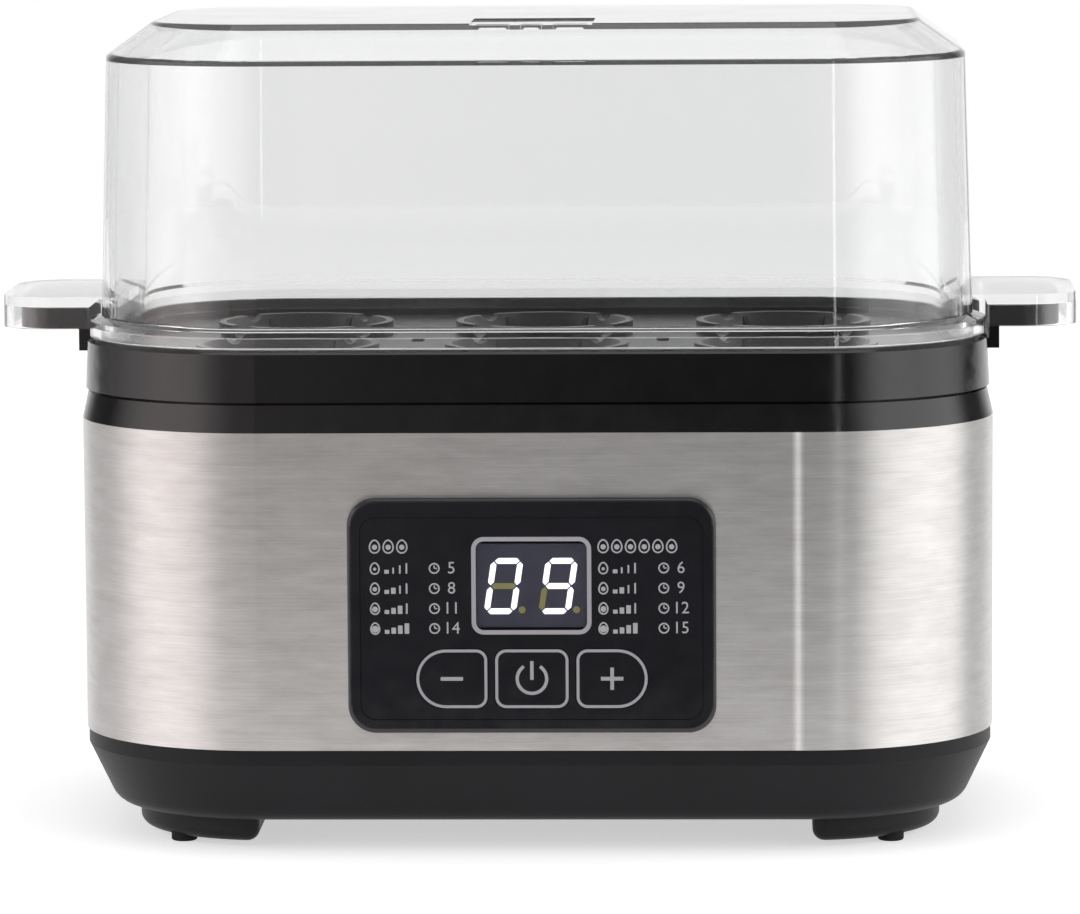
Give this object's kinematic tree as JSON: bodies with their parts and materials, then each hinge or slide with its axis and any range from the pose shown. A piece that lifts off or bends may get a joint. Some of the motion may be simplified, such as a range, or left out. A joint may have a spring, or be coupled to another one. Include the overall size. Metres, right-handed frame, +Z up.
{
  "type": "electric egg cooker",
  "caption": "Countertop electric egg cooker with a clear lift-off lid, a lift-out egg tray, a brushed steel body and a front panel with a display and keys.",
  "frame": {"origin": "middle of the overall box, on the surface that the rubber feet stand on", "axes": "+X to the right seen from the front, along the two side handles; +Y to the back; +Z up"},
  "size_m": [0.252, 0.1448, 0.1891],
  "materials": {
    "clear_plastic": "polished",
    "tray_black": "gloss",
    "collar_black": "gloss",
    "base_black": "satin",
    "foot_rubber": "matte",
    "brushed_steel": "brushed",
    "bowl_metal": "coated",
    "seal_silicone": "matte",
    "plain_steel": "zinc",
    "spreader_aluminium": "cast",
    "element_sheath": "oxidised",
    "sensor_body": "matte",
    "panel_black": "gloss",
    "window_smoke": "gloss",
    "module_white": "matte",
    "board_green": "satin",
    "board_tan": "satin",
    "component_black": "matte",
    "component_blue": "matte",
    "component_yellow": "matte",
    "can_sleeve": "sleeve",
    "copper_wire": "enamelled",
    "fuse_glass": "clear",
    "terminal_plastic": "matte",
    "ribbon_grey": "matte",
    "header_white": "matte"
  },
  "bodies": {
    "body": {"base_housing": "base_black", "rubber_feet": "foot_rubber", "base_screws": "plain_steel", "cord_gland": "component_black", "steel_band": "brushed_steel", "upper_housing": "collar_black", "water_bowl": "bowl_metal", "bowl_seal": "seal_silicone", "bowl_straps": "plain_steel", "strap_screws": "plain_steel", "heat_spreader": "spreader_aluminium", "heating_element": "element_sheath", "element_clamps": "plain_steel", "clamp_screws": "plain_steel", "temperature_sensor": "sensor_body", "sensor_bracket": "plain_steel", "thermal_fuse": "sensor_body", "fuse_clip": "plain_steel", "heat_shield": "spreader_aluminium", "shield_screws": "plain_steel", "panel_frame": "panel_black", "panel_overlay": "panel_black", "display_window": "window_smoke", "display_module": "module_white", "tact_switches": "component_black", "control_board": "board_green", "control_board_screws": "plain_steel", "buzzer": "component_black", "power_board": "board_tan", "power_board_screws": "plain_steel", "relay": "component_blue", "film_capacitor": "component_yellow", "smoothing_capacitors": "can_sleeve", "choke": "copper_wire", "mains_fuse": "fuse_glass", "terminal_block": "terminal_plastic", "ribbon_cable": "ribbon_grey", "board_headers": "header_white"},
    "tray": {"egg_tray": "tray_black"},
    "lid": {"lid": "clear_plastic"},
    "minus_button": {"minus_key": "panel_black", "minus_plunger": "component_black"},
    "power_button": {"power_key": "panel_black", "power_plunger": "component_black"},
    "plus_button": {"plus_key": "panel_black", "plus_plunger": "component_black"}
  },
  "joints": [
    {"name": "tray_lift", "type": "slide", "parent": "body", "child": "tray", "axis": [0, 0, 1], "range_m": [0, 0.08]},
    {"name": "lid_lift", "type": "slide", "parent": "tray", "child": "lid", "axis": [0, 0, 1], "range_m": [0, 0.1]},
    {"name": "minus_press", "type": "slide", "parent": "body", "child": "minus_button", "axis": [0, 1, 0], "range_m": [0, 0.0004], "stiffness_N_per_m": 150, "springref_m": -0.002},
    {"name": "power_press", "type": "slide", "parent": "body", "child": "power_button", "axis": [0, 1, 0], "range_m": [0, 0.0004], "stiffness_N_per_m": 150, "springref_m": -0.002},
    {"name": "plus_press", "type": "slide", "parent": "body", "child": "plus_button", "axis": [0, 1, 0], "range_m": [0, 0.0004], "stiffness_N_per_m": 150, "springref_m": -0.002}
  ]
}
